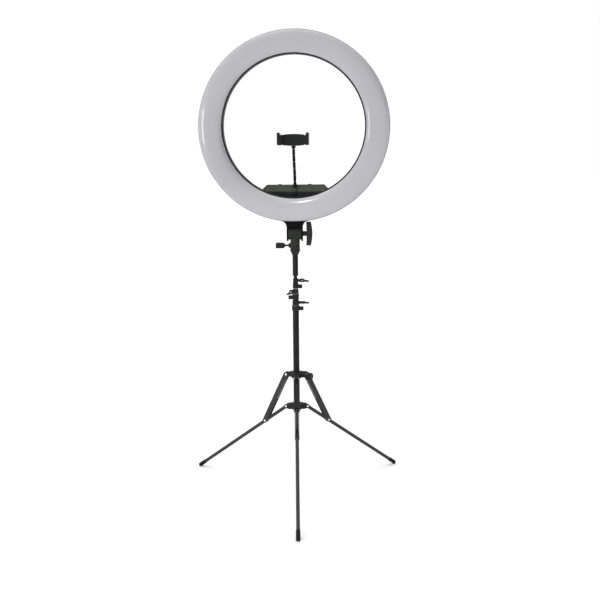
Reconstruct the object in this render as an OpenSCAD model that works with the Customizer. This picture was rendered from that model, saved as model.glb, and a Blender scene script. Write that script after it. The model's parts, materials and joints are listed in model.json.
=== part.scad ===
// Ring light on a reverse-folding stand, with a gooseneck phone holder.
// Millimetres, +Z up. The lamp faces -Y. The origin is the middle of the footprint, on the floor.

/* [Ring] */
// Outer diameter of the ring housing
ring_d = 540; // [500:1:560]
// Clear diameter inside the ring housing
hole_d = 401; // [380:1:410]
// Depth of the housing, from its back to its front rim
ring_depth = 32; // [28:1:36]
// Height of the diffuser's crown above the front rim
crown_h = 14; // [10:1:16]
// Width of the housing's rim on each side of the diffuser
rim_w = 3.6; // [3:0.1:5]
// Height of the ring's centre above the floor
ring_z = 1040; // [1030:1:1050]
// Distance from the stand's axis back to the ring's back face
ring_back_y = 12; // [10:1:14]
// Turn of the whole lamp on its stand, clockwise from above when negative
head_turn = -5; // [-20:1:20]

/* [Control box] */
// Width of the control box
box_w = 187; // [170:1:200]
// Depth of the control box without its cover
box_d = 34; // [30:1:40]
// Depth of the box's top below the ring's centre
box_top_drop = 167; // [160:1:170]
// Height of the control box
box_h = 87; // [80:1:92]

/* [Phone holder] */
// Width of the closed phone holder
holder_w = 89; // [80:1:95]
// Width of the gap between its pads when closed
grip_w = 62; // [55:1:66]
// Number of links in the gooseneck
neck_links = 5; // [5:1:5]
// Diameter of the gooseneck
neck_d = 8.6; // [7:0.5:9]
// Sideways lean of the gooseneck's top
neck_lean = -2.8; // [-5:0.1:5]

/* [Mast] */
// Outer diameter of the bottom tube
bottom_tube_d = 18; // [17.6:0.1:18.4]
// Outer diameter of the middle tube
middle_tube_d = 15; // [14.8:0.1:15.2]
// Outer diameter of the upper tube
upper_tube_d = 12.4; // [12.2:0.1:12.6]
// Outer diameter of the top tube
top_tube_d = 10; // [9.8:0.1:10.1]
// Diameter of the spigot that the lamp sits on
spigot_d = 15.88; // [15.8:0.01:15.9]

/* [Legs] */
// Distance from the mast's axis to the leg and strut pivots
pivot_r = 32; // [30:0.5:34]
// Height of the leg pivots
hub_z = 233.5; // [230:0.1:240]
// Height of the strut pivots on the sliding collar
slider_z = 326; // [324:0.1:332]
// Angle of an open leg from straight down
leg_angle = 53.9; // [52:0.1:56]
// Distance along a leg from its pivot to the strut's pivot
strut_at = 91.4; // [88:0.1:94]
// Diameter of a leg tube
leg_d = 10; // [9.5:0.1:10]

/* [Hidden] */
$fn = 64;

// Cut depth that clears a face cleanly, and the play of a shaft in its hole
eps = 0.1;
play = 0.06;

// Ring
ring_r = ring_d / 2;
hole_r = hole_d / 2;
diffuser_out = ring_r - rim_w;
diffuser_in = hole_r + rim_w;
face_mid = (diffuser_out + diffuser_in) / 2;
face_half = (diffuser_out - diffuser_in) / 2;
crown_out = ring_r - 1.4;
crown_mid = (crown_out + diffuser_in) / 2;
crown_half = (crown_out - diffuser_in) / 2;
back_t = 2.4;
diffuser_t = 2;
diffuser_seat = 5;
board_h = 7;
board_t = 1.6;
chip = [3.5, 2.8, 0.8];
chip_rows = [for (k = [-1, 1]) face_mid + k * 11];
chips_per_row = 48;

// Control box, with its front against the ring's back
box_x = box_w / 2;
box_front = ring_back_y;
box_back = box_front + box_d;
box_top = ring_z - box_top_drop;
box_low = box_top - box_h;
box_wall = 2.4;
slope_y = 14;
slope_z = 21;
cover_t = 3.6;
button_r = 5;
button_y = box_front + 24;
button_x = [-45, 41];
knob_x = 55;
knob_z = box_top - 43;
window_size = [46, 20];
inlet_at = [-45, box_front + 18];

// Gooseneck and phone holder
neck_y = box_front + 2;
neck_low = box_top - 9;
ferrule_top = neck_low + 19;
neck_top = box_top + 102.5;
neck_gap = 0.8;
neck_r = neck_d / 2;
link_h = (neck_top - ferrule_top) / neck_links;
nub_r = 2.5;
holder_z = neck_top + 8.6;
holder_h = 33.8;
holder_x = holder_w / 2;
grip_x = grip_w / 2;
plate_y = [neck_y - 6, neck_y + 6];
jaw_reach = 26;
pad_t = 4.8;
arm = [5, 17];
arm_z = holder_z + 17;
stud_r = 3.1;

// Tilt joint and socket
tilt_z = 735;
barrel_r = 17.5;
barrel_x = 18.2;
cheek_x = 18.6;
cheek_t = 4.2;
bolt_r = 4;
knob_half = 33.5;
socket_low = 675;
socket_r = 13.6;
screw_z = 701;
screw_r = 3;

// Mast: each tube's outer radius, its wall, and the height of its foot and head
tube_r = [bottom_tube_d / 2, middle_tube_d / 2, upper_tube_d / 2, top_tube_d / 2];
tube_wall = [1, 0.9, 0.8, 1];
tube_foot = [226, 238, 242, 246];
tube_head = [525.5, 559, 590, 698];
guide_h = 10;
guide_play = 0.08;
spigot_low = 614.7;
spigot_high = 713;

// Collars, lowest first: foot, seam, head, lower radius, upper radius
collar_zs = [[514.8, 529.5, 544.8], [546.8, 562.9, 576.5], [578.2, 594, 607.5]];
collar_rs = [[11.2, 9.5], [9.6, 8.5], [8.2, 7.2]];
collar_turn = [0, 180, 0];
wing_turn = [0, 230, 0];
wing_roll = [62, 0, 48];

// Legs
leg_r = leg_d / 2;
foot_r = 5.8;
foot_ball_z = 5.2;
leg_len = (hub_z - foot_ball_z) / cos(leg_angle);
foot_circle = pivot_r + leg_len * sin(leg_angle);
column_y = foot_circle / 4;
leg_turns = [-90, 30, 150];
strut_dx = strut_at * sin(leg_angle);
strut_dz = slider_z - hub_z + strut_at * cos(leg_angle);
strut_len = sqrt(strut_dx * strut_dx + strut_dz * strut_dz);
strut_angle = atan2(strut_dx, strut_dz);
rivet_r = 2;
strut_t = 1.2;
strut_in = 5.3;
strut_web_x = 5.4;
strut_lip_x = -7.8;

// ---- Placing helpers ----

module on_column() {
    translate([0, column_y, 0]) children();
}

// Everything above the spigot, in the frame of the lamp: X across it, -Y the way it faces
module on_head() {
    on_column() rotate([0, 0, head_turn]) children();
}

// The ring's own frame: Z is the ring's axis, forwards, and 0 is the back face
module on_ring() {
    on_head() translate([0, ring_back_y, ring_z]) rotate([90, 0, 0]) children();
}

// One leg's vertical plane: X points outwards
module on_side(turn) {
    on_column() rotate([0, 0, turn]) children();
}

// Along a leg: Z runs from its pivot to its foot
module along_leg(turn) {
    on_side(turn) translate([pivot_r, 0, hub_z]) rotate([0, 180 - leg_angle, 0]) children();
}

// Along a strut: Z runs from the sliding collar to the leg, X points at the mast
module along_strut(turn) {
    on_side(turn) translate([pivot_r, 0, slider_z]) rotate([0, 180 - strut_angle, 0]) children();
}

// A cylinder along X or Y
module x_rod(x0, x1, r) {
    translate([x0, 0, 0]) rotate([0, 90, 0]) cylinder(h = x1 - x0, r = r);
}

module y_rod(y0, y1, r) {
    translate([0, y1, 0]) rotate([90, 0, 0]) cylinder(h = y1 - y0, r = r);
}

// A flat shape drawn in X and Z, raised along Y
module xz_plate(y0, y1) {
    translate([0, y1, 0]) rotate([90, 0, 0]) linear_extrude(y1 - y0) children();
}

// A flat shape drawn in Y and Z, raised along X
module yz_plate(x0, x1) {
    translate([x0, 0, 0]) rotate([90, 0, 90]) linear_extrude(x1 - x0) children();
}

// The four points where two circles' outer tangents touch them
function tangent_quad(c1, r1, c2, r2) =
    let (d = c2 - c1, a = atan2(d[1], d[0]), b = acos((r1 - r2) / norm(d)))
    [
        c1 + r1 * [cos(a + b), sin(a + b)], c2 + r2 * [cos(a + b), sin(a + b)],
        c2 + r2 * [cos(a - b), sin(a - b)], c1 + r1 * [cos(a - b), sin(a - b)]
    ];

// Two circles and the tangent band between them
module link2d(c1, r1, c2, r2) {
    translate(c1) circle(r1);
    translate(c2) circle(r2);
    polygon(tangent_quad(c1, r1, c2, r2));
}

function arc(c, r, from, to, steps) =
    [for (i = [0:steps]) c + r * [cos(from + (to - from) * i / steps), sin(from + (to - from) * i / steps)]];

// ---- Ring ----

// Rise of the crown at a radius: a flattened ellipse
function crown(r, half, rise) = rise * pow(max(0, 1 - pow(abs(r - crown_mid) / half, 2.4)), 1 / 2.4);

// Section of the housing: a channel with rounded back corners, open to the front
function housing_section(inset, floor_h, rim_h) =
    let (outer = ring_r - inset, inner = hole_r + inset, corner = 9 - inset)
    concat(
        [[inner, rim_h]],
        arc([inner + corner, floor_h + corner], corner, 180, 270, 6),
        arc([outer - corner, floor_h + corner], corner, 270, 360, 6),
        [[outer, rim_h]]
    );

module rear_housing() {
    color([0.07, 0.07, 0.075]) on_ring() difference() {
        union() {
            difference() {
                rotate_extrude($fn = 128) polygon(housing_section(0, 0, ring_depth));
                rotate_extrude($fn = 128)
                    polygon(housing_section(rim_w - 1.2, back_t, ring_depth + eps));
            }
            // the ledge that the diffuser's skirt stands on
            for (r = [diffuser_in - 1.3, diffuser_out - 1.1])
                rotate_extrude($fn = 128)
                    translate([r, ring_depth - diffuser_seat - 2]) square([2.4, 2]);
            // two raised ribs that carry the LED boards
            for (r = [face_mid - 20, face_mid + 17])
                rotate_extrude($fn = 128) translate([r, back_t - eps]) square([3, board_h - back_t + eps]);
        }
        for (i = [0:7])
            rotate([0, 0, 22.5 + i * 45]) translate([face_mid + 24, 0, -eps]) cylinder(h = 5, r = 1.4);
        for (x = [-30, 30])
            translate([x, tilt_z + 45 - ring_z, -eps]) cylinder(h = 5, r = 1.4);
    }
}

module diffuser() {
    steps = 20;
    skirt = ring_depth - diffuser_seat;
    lap = ring_depth + 0.2;
    outer = [for (i = [0:steps])
        let (r = crown_mid - crown_half * cos(180 * i / steps)) [r, lap + crown(r, crown_half, crown_h - 0.2)]];
    inner = [for (i = [steps:-1:0])
        let (r = crown_mid - (crown_half - diffuser_t) * cos(180 * i / steps))
        [min(r, diffuser_out - diffuser_t), ring_depth + crown(r, crown_half - diffuser_t, crown_h - diffuser_t)]];
    // the crown laps over the housing's outer rim; the skirt stands inside it
    color([0.78, 0.77, 0.81]) on_ring() rotate_extrude($fn = 128) polygon(concat(
        [[diffuser_in, skirt]], outer, [[diffuser_out, lap], [diffuser_out, skirt],
        [diffuser_out - diffuser_t, skirt]], inner, [[diffuser_in + diffuser_t, skirt]]
    ));
}

module led_boards() {
    gap = 1.5;
    color([0.9, 0.9, 0.88]) on_ring() difference() {
        translate([0, 0, board_h]) difference() {
            cylinder(h = board_t, r = face_mid + 22, $fn = 128);
            translate([0, 0, -eps]) cylinder(h = board_t + 2 * eps, r = face_mid - 22, $fn = 128);
        }
        for (i = [0:3])
            rotate([0, 0, i * 90]) translate([0, -gap / 2, board_h - eps]) cube([ring_r, gap, 2 * board_t]);
    }
}

module led_chips() {
    color([0.95, 0.85, 0.35]) on_ring()
        for (row = chip_rows, i = [0:chips_per_row - 1])
            rotate([0, 0, (i + 0.5) * 360 / chips_per_row])
                translate([row - chip[1] / 2, -chip[0] / 2, board_h + board_t])
                    cube([chip[1], chip[0], chip[2]]);
}

// Pan-head screws: eight in the ring's back, two in the bracket and four in the box's cover
module back_screws() {
    color([0.55, 0.55, 0.57]) {
        on_ring() for (i = [0:7])
            rotate([0, 0, 22.5 + i * 45]) translate([face_mid + 24, 0, -1.6]) {
                cylinder(h = 1.6, r = 3);
                cylinder(h = 7, r = 1.35);
            }
        on_head() for (x = [-30, 30])
            translate([x, 0, tilt_z + 45]) {
                y_rod(ring_back_y + 3, ring_back_y + 4.6, 3);
                y_rod(ring_back_y - 3, ring_back_y + 3.1, 1.35);
            }
        on_head() for (x = [-1, 1] * (box_x - 14), z = [box_low + 30, box_top - 16])
            translate([x, 0, z]) {
                y_rod(box_back + cover_t, box_back + cover_t + 1.6, 3);
                y_rod(box_back - 8, box_back + cover_t + eps, 1.35);
            }
    }
}

// ---- Control box ----

// Front outline: bevelled top corners, and lower corners cut to stay behind the ring
module box_outline(inset) {
    x = box_x - inset;
    polygon([
        [-x, box_top - 11], [-x + 11, box_top - inset], [x - 11, box_top - inset], [x, box_top - 11],
        [x, box_low + 20], [x - 24, box_low + inset], [-x + 24, box_low + inset], [-x, box_low + 20]
    ]);
}

// Side outline: the top slopes down to the front
module box_side(inset) {
    top = box_top - inset;
    front = box_front + inset;
    polygon([
        [front, box_low - eps], [box_back + eps, box_low - eps], [box_back + eps, top],
        [front + slope_y - inset / 2, top], [front, top - slope_z + inset / 2]
    ]);
}

module box_solid(inset, back) {
    intersection() {
        xz_plate(box_front + inset, back) box_outline(inset);
        yz_plate(-box_x, box_x) box_side(inset);
    }
}

module control_box() {
    color([0.2, 0.2, 0.18]) on_head() difference() {
        union() {
            difference() {
                box_solid(0, box_back);
                box_solid(box_wall, box_back + 2 * eps);
            }
            // threaded seat of the gooseneck
            translate([0, neck_y, box_top - 32]) cylinder(h = neck_low - box_top + 32, r = 6);
            // posts for the cover's screws
            for (x = [-1, 1] * (box_x - 14), z = [box_low + 30, box_top - 16])
                translate([x, 0, z]) y_rod(box_front + 1, box_back - eps, 4);
        }
        translate([0, neck_y, neck_low - 8]) cylinder(h = 8 + eps, r = 2.6);
        for (x = [-1, 1] * (box_x - 14), z = [box_low + 30, box_top - 16])
            translate([x, 0, z]) y_rod(box_back - 9, box_back + eps, 1.4);
        for (x = button_x)
            translate([x, button_y, box_top - 2 * box_wall]) cylinder(h = 3 * box_wall, r = button_r + 0.2);
        translate([inlet_at[0], inlet_at[1], box_low - eps]) cylinder(h = 2 * box_wall, r = 6);
    }
}

module box_cover() {
    color([0.08, 0.08, 0.085]) on_head() difference() {
        xz_plate(box_back, box_back + cover_t) box_outline(0);
        for (x = [-1, 1] * (box_x - 14), z = [box_low + 30, box_top - 16])
            translate([x, 0, z]) y_rod(box_back - eps, box_back + cover_t + eps, 1.4);
        for (x = [-knob_x, knob_x])
            translate([x, 0, knob_z]) y_rod(box_back - eps, box_back + cover_t + eps, 3 + play);
        translate([-window_size[0] / 2, box_back + cover_t - 1.6, knob_z - window_size[1] / 2])
            cube([window_size[0], 2, window_size[1]]);
        // vent slots under the window
        for (i = [-4:4])
            translate([i * 7 - 1.5, box_back - eps, box_low + 14]) cube([3, cover_t + 2 * eps, 16]);
    }
}

module driver_board() {
    board_y = box_front + 12;
    low = box_low + 24;
    color([0.1, 0.35, 0.2]) on_head() {
        difference() {
            union() {
                translate([-70, board_y, low]) cube([140, 1.6, 44]);
                // transformer, inductor, heat sink and the two potentiometers
                translate([-58, board_y + 1.5, low + 8]) cube([24, 14, 22]);
                translate([36, board_y + 1.5, low + 6]) cube([14, 14, 12]);
                translate([-8, board_y + 1.5, low + 4]) cube([34, 10, 3]);
                translate([-20, 0, low + 24]) y_rod(board_y + 1, board_y + 15, 6);
                translate([-4, 0, low + 24]) y_rod(board_y + 1, board_y + 15, 6);
                translate([14, 0, low + 24]) y_rod(board_y + 1, board_y + 12, 4);
            }
            for (x = [-62, 62], z = [4, 40])
                translate([x, 0, low + z]) y_rod(board_y - eps, board_y + 2, 1.6);
        }
    }
}

module dc_inlet() {
    color([0.12, 0.12, 0.12]) on_head() translate([inlet_at[0], inlet_at[1], box_low]) {
        difference() {
            union() {
                translate([0, 0, -1.6]) cylinder(h = 1.6, r = 7.4);
                cylinder(h = 12, r = 6);
            }
            translate([0, 0, -2]) cylinder(h = 11.5, r = 2.8);
        }
        translate([0, 0, -0.4]) cylinder(h = 10.4, r = 1);
    }
}

module display_window() {
    color([0.03, 0.03, 0.05]) on_head()
        translate([-window_size[0] / 2, box_back + cover_t - 1.6, knob_z - window_size[1] / 2])
            cube([window_size[0], 1.9, window_size[1]]);
}

module turn_knob(x) {
    color([0.1, 0.1, 0.1]) on_head() translate([x, 0, knob_z]) {
        y_rod(box_back - 6, box_back + cover_t + 1, 3);
        difference() {
            y_rod(box_back + cover_t + 0.6, box_back + cover_t + 14, 11);
            for (i = [0:17])
                rotate([0, i * 20, 0]) translate([0, 0, 11.4])
                    y_rod(box_back + cover_t + 2.6, box_back + cover_t + 15, 1);
        }
    }
}

module brightness_knob() { turn_knob(-knob_x); }

module colour_knob() { turn_knob(knob_x); }

module push_button(x) {
    color([0.25, 0.25, 0.24]) on_head() translate([x, button_y, box_top]) {
        translate([0, 0, -4]) cylinder(h = 6, r = button_r);
        translate([0, 0, -4]) cylinder(h = 1.4, r = button_r + 1.4);
    }
}

module power_button() { push_button(button_x[0]); }

module mode_button() { push_button(button_x[1]); }

// ---- Gooseneck ----

// Sideways place of the gooseneck's centre line at a height: a gentle S
function neck_x(z) =
    let (t = (z - ferrule_top) / (neck_top - ferrule_top))
    neck_lean * (3 - 2 * t) * t * t;

// One end of the neck stands on pivot k, the height where two links meet
function pivot_z(k) = ferrule_top + k * link_h;
function pivot_at(k) = [neck_x(pivot_z(k)), neck_y, pivot_z(k)];

module neck_ferrule() {
    color([0.1, 0.1, 0.1]) on_head() {
        translate([0, neck_y, neck_low]) cylinder(h = 13, r1 = 5.4, r2 = 4.9);
        translate([0, neck_y, neck_low + 13]) cylinder(h = ferrule_top - neck_low - 13 - neck_gap / 2,
                                                       r1 = 4.9, r2 = 3.4);
        translate([0, neck_y, neck_low - 7]) cylinder(h = 7, r = 2.55);
        neck_nub(0);
    }
}

// The ball that the next link swivels on
module neck_nub(k) {
    translate(pivot_at(k)) {
        sphere(r = nub_r, $fn = 48);
        translate([0, 0, -3]) cylinder(h = 3, r = 1.5);
    }
}

module neck_link(k) {
    low = pivot_at(k - 1);
    high = pivot_at(k);
    run = high - low;
    lean = atan2(run[0], run[2]);
    body = norm(run) - neck_gap;
    end = 1.4;
    color([0.06, 0.06, 0.06]) on_head() {
        difference() {
            translate(low) rotate([0, lean, 0]) translate([0, 0, neck_gap / 2]) {
                cylinder(h = end, r1 = neck_r - 0.7, r2 = neck_r);
                translate([0, 0, end]) cylinder(h = body - 2 * end, r = neck_r);
                translate([0, 0, body - end]) cylinder(h = end, r1 = neck_r, r2 = neck_r - 0.7);
            }
            translate(low) sphere(r = nub_r + 0.3, $fn = 48);
        }
        neck_nub(k);
    }
}

module neck_link_1() { neck_link(1); }

module neck_link_2() { neck_link(2); }

module neck_link_3() { neck_link(3); }

module neck_link_4() { neck_link(4); }

module neck_link_5() { neck_link(5); }

// ---- Phone holder ----

module on_holder() {
    on_head() translate([neck_lean, 0, 0]) children();
}

module holder_socket() {
    color([0.1, 0.1, 0.1]) on_holder() translate([0, neck_y, neck_top]) {
        difference() {
            translate([0, 0, neck_gap / 2]) {
                cylinder(h = 1.4, r1 = neck_r - 0.7, r2 = neck_r + 0.4);
                translate([0, 0, 1.4]) cylinder(h = 6.4, r1 = neck_r + 0.4, r2 = 7.2);
            }
            sphere(r = nub_r + 0.3, $fn = 48);
        }
        translate([0, 0, 7]) cylinder(h = 9.2, r = stud_r);
    }
}

// Front outline of the holder's body: gently bowed above and below
module holder_outline() {
    bow = 220;
    intersection() {
        translate([-grip_x - pad_t, holder_z - 1]) square([2 * grip_x + pad_t - 0.3, holder_h + 2]);
        translate([0, holder_z + holder_h - bow]) circle(bow, $fn = 256);
        translate([0, holder_z + bow]) circle(bow, $fn = 256);
    }
}

// A jaw's end outline, with its upturned horn, drawn on the left side
module jaw_outline() {
    left = -holder_x;
    low = holder_z + 1.8;
    polygon(concat(
        [[left + 13.2, low], [left + 3, low]],
        arc([left + 3, low + 3], 3, 270, 180, 4),
        arc([left + 3.2, holder_z + holder_h + 0.8], 3.2, 180, 0, 8),
        [[left + 8.4, holder_z + holder_h - 3.8], [left + 13.2, holder_z + holder_h - 3]]
    ));
}

module jaw_block() {
    wall = -grip_x - pad_t;
    intersection() {
        xz_plate(plate_y[0] - jaw_reach, plate_y[1]) jaw_outline();
        translate([-holder_x - 1, plate_y[0] - jaw_reach - 1, holder_z - 5])
            cube([wall + holder_x + 1, jaw_reach + 20, holder_h + 20]);
    }
}

module grip_pad() {
    difference() {
        translate([-grip_x - pad_t, plate_y[0] - jaw_reach + 3, holder_z + 4])
            cube([pad_t, jaw_reach - 3.5, holder_h - 9]);
        for (i = [0:4])
            translate([-grip_x, plate_y[0] - jaw_reach + 5, holder_z + 7 + i * 4.4])
                cube([1.6, jaw_reach, 1.4], center = false);
    }
}

module holder_body() {
    color([0.09, 0.09, 0.095]) on_holder() difference() {
        union() {
            xz_plate(plate_y[0], plate_y[1]) holder_outline();
            jaw_block();
        }
        // the slot that the moving arm slides in, open on the right
        translate([-grip_x + 1, neck_y - arm[0] / 2 - 0.2, arm_z - arm[1] / 2 - 0.2])
            cube([2 * grip_x, arm[0] + 0.4, arm[1] + 0.4]);
        translate([0, neck_y, holder_z - eps]) cylinder(h = 8.2, r = stud_r + play);
        translate([0, neck_y, holder_z - 4]) cylinder(h = 4.4, r = 7.6);
    }
}

module fixed_pad() {
    color([0.2, 0.2, 0.2]) on_holder() grip_pad();
}

module holder_jaw() {
    color([0.09, 0.09, 0.095]) on_holder() {
        mirror([1, 0, 0]) jaw_block();
        // the shoulder that meets the body, and the sliding arm
        translate([grip_x + 0.2, plate_y[0] + 0.4, holder_z + 3.4])
            cube([pad_t, plate_y[1] - plate_y[0] - 0.8, holder_h - 7.4]);
        translate([-grip_x + 14, neck_y - arm[0] / 2, arm_z - arm[1] / 2])
            cube([2 * grip_x - 13, arm[0], arm[1]]);
    }
}

module jaw_pad() {
    color([0.2, 0.2, 0.2]) on_holder() mirror([1, 0, 0]) grip_pad();
}

module holder_spring() {
    color([0.6, 0.6, 0.62]) on_holder() translate([0, neck_y, arm_z]) difference() {
        x_rod(-grip_x + 1.6, -grip_x + 13.6, 2.2);
        x_rod(-grip_x + 1, -grip_x + 14, 1.4);
    }
}

// ---- Tilt joint ----

// Front outline of the bracket: flared where it meets the ring
module flare_outline() {
    x = cheek_x + cheek_t;
    spread = 19;
    rise = tilt_z + 18.5;
    polygon(concat(
        arc([x + spread, rise], spread, 180, 104, 9),
        [[x + spread + 5, rise + spread + 6], [x + spread + 5, tilt_z + 49]],
        [[-x - spread - 5, tilt_z + 49], [-x - spread - 5, rise + spread + 6]],
        arc([-x - spread, rise], spread, 76, 0, 9)
    ));
}

module tilt_bracket() {
    depth = 13;
    color([0.05, 0.05, 0.05]) on_head() difference() {
        union() {
            difference() {
                xz_plate(-depth, ring_back_y + 3) flare_outline();
                translate([0, 0, ring_z]) y_rod(-depth - 1, ring_back_y, ring_r);
                yz_plate(-cheek_x, cheek_x) translate([0, tilt_z]) circle(barrel_r + 1.4);
            }
            for (side = [-1, 1])
                translate([side * (cheek_x + cheek_t / 2), 0, 0]) yz_plate(-cheek_t / 2, cheek_t / 2)
                    link2d([0, tilt_z - 7], 15, [0, tilt_z + 12], 13);
        }
        translate([0, 0, tilt_z]) x_rod(-40, 40, bolt_r + play);
        // the pocket that stops the nut turning
        translate([-cheek_x - cheek_t - eps, 0, tilt_z]) rotate([0, 90, 0])
            cylinder(h = 3.3, r = 7.3, $fn = 6);
        for (x = [-30, 30])
            translate([x, 0, tilt_z + 45]) y_rod(ring_back_y - 1, ring_back_y + 4, 1.4);
    }
}

module swivel_socket() {
    color([0.23, 0.24, 0.24]) on_head() difference() {
        union() {
            translate([0, 0, tilt_z]) x_rod(-barrel_x, barrel_x, barrel_r);
            translate([0, 0, socket_low + 15]) cylinder(h = tilt_z - socket_low - 15, r = socket_r);
            translate([0, 0, socket_low + 10.5]) cylinder(h = 4.8, r = socket_r + 0.8);
            translate([0, 0, socket_low]) cylinder(h = 10.8, r1 = 9.4, r2 = socket_r);
            translate([0, 0, screw_z]) x_rod(-18, -8.5, 7);
        }
        translate([0, 0, tilt_z]) x_rod(-30, 30, bolt_r + play);
        translate([0, 0, socket_low - eps])
            cylinder(h = spigot_high - socket_low + 1, d = spigot_d + 2 * play);
        translate([0, 0, screw_z]) x_rod(-30, 0, screw_r + play);
    }
}

module tilt_bolt() {
    color([0.5, 0.5, 0.52]) on_head() translate([0, 0, tilt_z]) x_rod(-22.4, 38, bolt_r);
}

module tilt_nut() {
    color([0.5, 0.5, 0.52]) on_head() translate([-cheek_x - cheek_t, 0, tilt_z]) difference() {
        rotate([0, 90, 0]) cylinder(h = 3, r = 7.1, $fn = 6);
        x_rod(-1, 4, bolt_r + play);
    }
}

// Front outline of the T-shaped grip: a bar bowed away from the bolt
module grip_bar() {
    outer_r = 130;
    inner_r = 480;
    translate([0, tilt_z]) difference() {
        intersection() {
            translate([49.4 - outer_r, 0]) circle(outer_r, $fn = 256);
            translate([20, -knob_half]) square([40, 2 * knob_half]);
        }
        translate([33.4 - inner_r, 0]) circle(inner_r, $fn = 256);
    }
}

module tilt_knob() {
    color([0.1, 0.1, 0.1]) on_head() difference() {
        union() {
            translate([0, 0, tilt_z]) x_rod(cheek_x + cheek_t + 0.4, 40, 7);
            xz_plate(-6.5, 6.5) grip_bar();
        }
        translate([0, 0, tilt_z]) x_rod(20, 38, bolt_r);
    }
}

module socket_screw() {
    tip = -(spigot_d / 2 + play + 0.04);
    color([0.12, 0.12, 0.12]) on_head() translate([0, 0, screw_z]) {
        x_rod(-22, tip, screw_r);
        x_rod(-30, -22 + eps, 2.6);
        intersection() {
            xz_plate(-4, 4) polygon([
                [-28.5, -3.4], [-33, -7.6], [-52, -8.4], [-55.2, -6.6],
                [-55.2, 6.6], [-52, 8.4], [-33, 7.6], [-28.5, 3.4]
            ]);
            x_rod(-56, -28, 8.6);
        }
        x_rod(-48, -28.5, 5);
    }
}

// ---- Mast ----

module mast_tube(k) {
    r = tube_r[k];
    guide = k == 0 ? r : tube_r[k - 1] - tube_wall[k - 1] - guide_play;
    color([0.11, 0.11, 0.115]) on_column() difference() {
        union() {
            translate([0, 0, tube_foot[k]]) cylinder(h = tube_head[k] - tube_foot[k], r = r);
            translate([0, 0, tube_foot[k]]) cylinder(h = guide_h, r = guide);
        }
        translate([0, 0, tube_foot[k] - eps])
            cylinder(h = tube_head[k] - tube_foot[k] + 2 * eps, r = r - tube_wall[k]);
    }
}

module tube_bottom() { mast_tube(0); }

module tube_middle() { mast_tube(1); }

module tube_upper() { mast_tube(2); }

module tube_top() { mast_tube(3); }

module spigot() {
    color([0.13, 0.13, 0.13]) on_column() difference() {
        union() {
            translate([0, 0, spigot_low]) cylinder(h = spigot_high - spigot_low, d = spigot_d);
            translate([0, 0, spigot_low]) cylinder(h = 5, r = 8.2);
        }
        translate([0, 0, spigot_low - eps]) cylinder(h = tube_head[3] - spigot_low + eps, r = tube_r[3]);
    }
}

// A collar clamps the tube below it, and locks the thinner tube that slides through it
module collar(k) {
    zs = collar_zs[k];
    low_r = collar_rs[k][0];
    high_r = collar_rs[k][1];
    lug_x = low_r + 11;
    screw_at = (zs[1] + zs[2]) / 2;
    color([0.09, 0.09, 0.09]) on_column() difference() {
        union() {
            translate([0, 0, zs[0]]) cylinder(h = 2, r1 = low_r - 1, r2 = low_r);
            translate([0, 0, zs[0] + 2]) cylinder(h = zs[1] - zs[0] - 3, r = low_r);
            translate([0, 0, zs[1] - 1]) cylinder(h = 1.6, r = high_r - 0.9);
            translate([0, 0, zs[1] + 0.6]) cylinder(h = zs[2] - zs[1] - 2.2, r = high_r);
            translate([0, 0, zs[2] - 1.6]) cylinder(h = 1.6, r1 = high_r, r2 = high_r - 1.2);
            // pinch lug with its cross screw
            rotate([0, 0, collar_turn[k]]) translate([low_r - 2, -4.5, zs[0] + 0.5])
                cube([lug_x - low_r + 2, 9, 10]);
            rotate([0, 0, collar_turn[k]]) translate([lug_x - 4.5, 0, zs[0] + 5.5]) y_rod(-6.4, 6.4, 2.6);
            // threaded boss of the wing screw
            rotate([0, 0, wing_turn[k]]) translate([0, 0, screw_at]) x_rod(high_r - 2, high_r + 2.4, 4.4);
        }
        translate([0, 0, zs[0] - eps]) cylinder(h = tube_head[k] - zs[0] + eps, r = tube_r[k]);
        translate([0, 0, tube_head[k] - 1])
            cylinder(h = zs[2] - tube_head[k] + 2, r = tube_r[k + 1] + play);
        // split of the pinch clamp
        rotate([0, 0, collar_turn[k]]) translate([tube_r[k] - 1, -0.6, zs[0] - eps])
            cube([lug_x, 1.2, zs[1] - zs[0] - 2]);
        rotate([0, 0, wing_turn[k]]) translate([0, 0, screw_at]) x_rod(0, high_r + 4, 2.4 + play);
    }
}

module collar_lower() { collar(0); }

module collar_middle() { collar(1); }

module collar_upper() { collar(2); }

// Wing screw: a shank, a hub, and a flat eye with a tail
module wing(k) {
    zs = collar_zs[k];
    start = collar_rs[k][1] + 2.8;
    eye = start + 9;
    on_column() rotate([0, 0, wing_turn[k]]) translate([0, 0, (zs[1] + zs[2]) / 2]) {
        x_rod(tube_r[k + 1] + play, start + 3, 2.4);
        x_rod(start, start + 4, 4.2);
        rotate([wing_roll[k], 0, 0]) difference() {
            xz_plate(-2, 2) {
                translate([eye, 0]) circle(7);
                link2d([eye + 3, -2], 3.2, [38.4 - 1.6, -4.6], 1.6);
            }
            translate([eye, 0, 0]) y_rod(-3, 3, 4.1);
        }
    }
}

module wing_lower() { color([0.1, 0.1, 0.1]) wing(0); }

module wing_middle() { color([0.1, 0.1, 0.1]) wing(1); }

module wing_upper() { color([0.1, 0.1, 0.1]) wing(2); }

// ---- Legs ----

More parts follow.
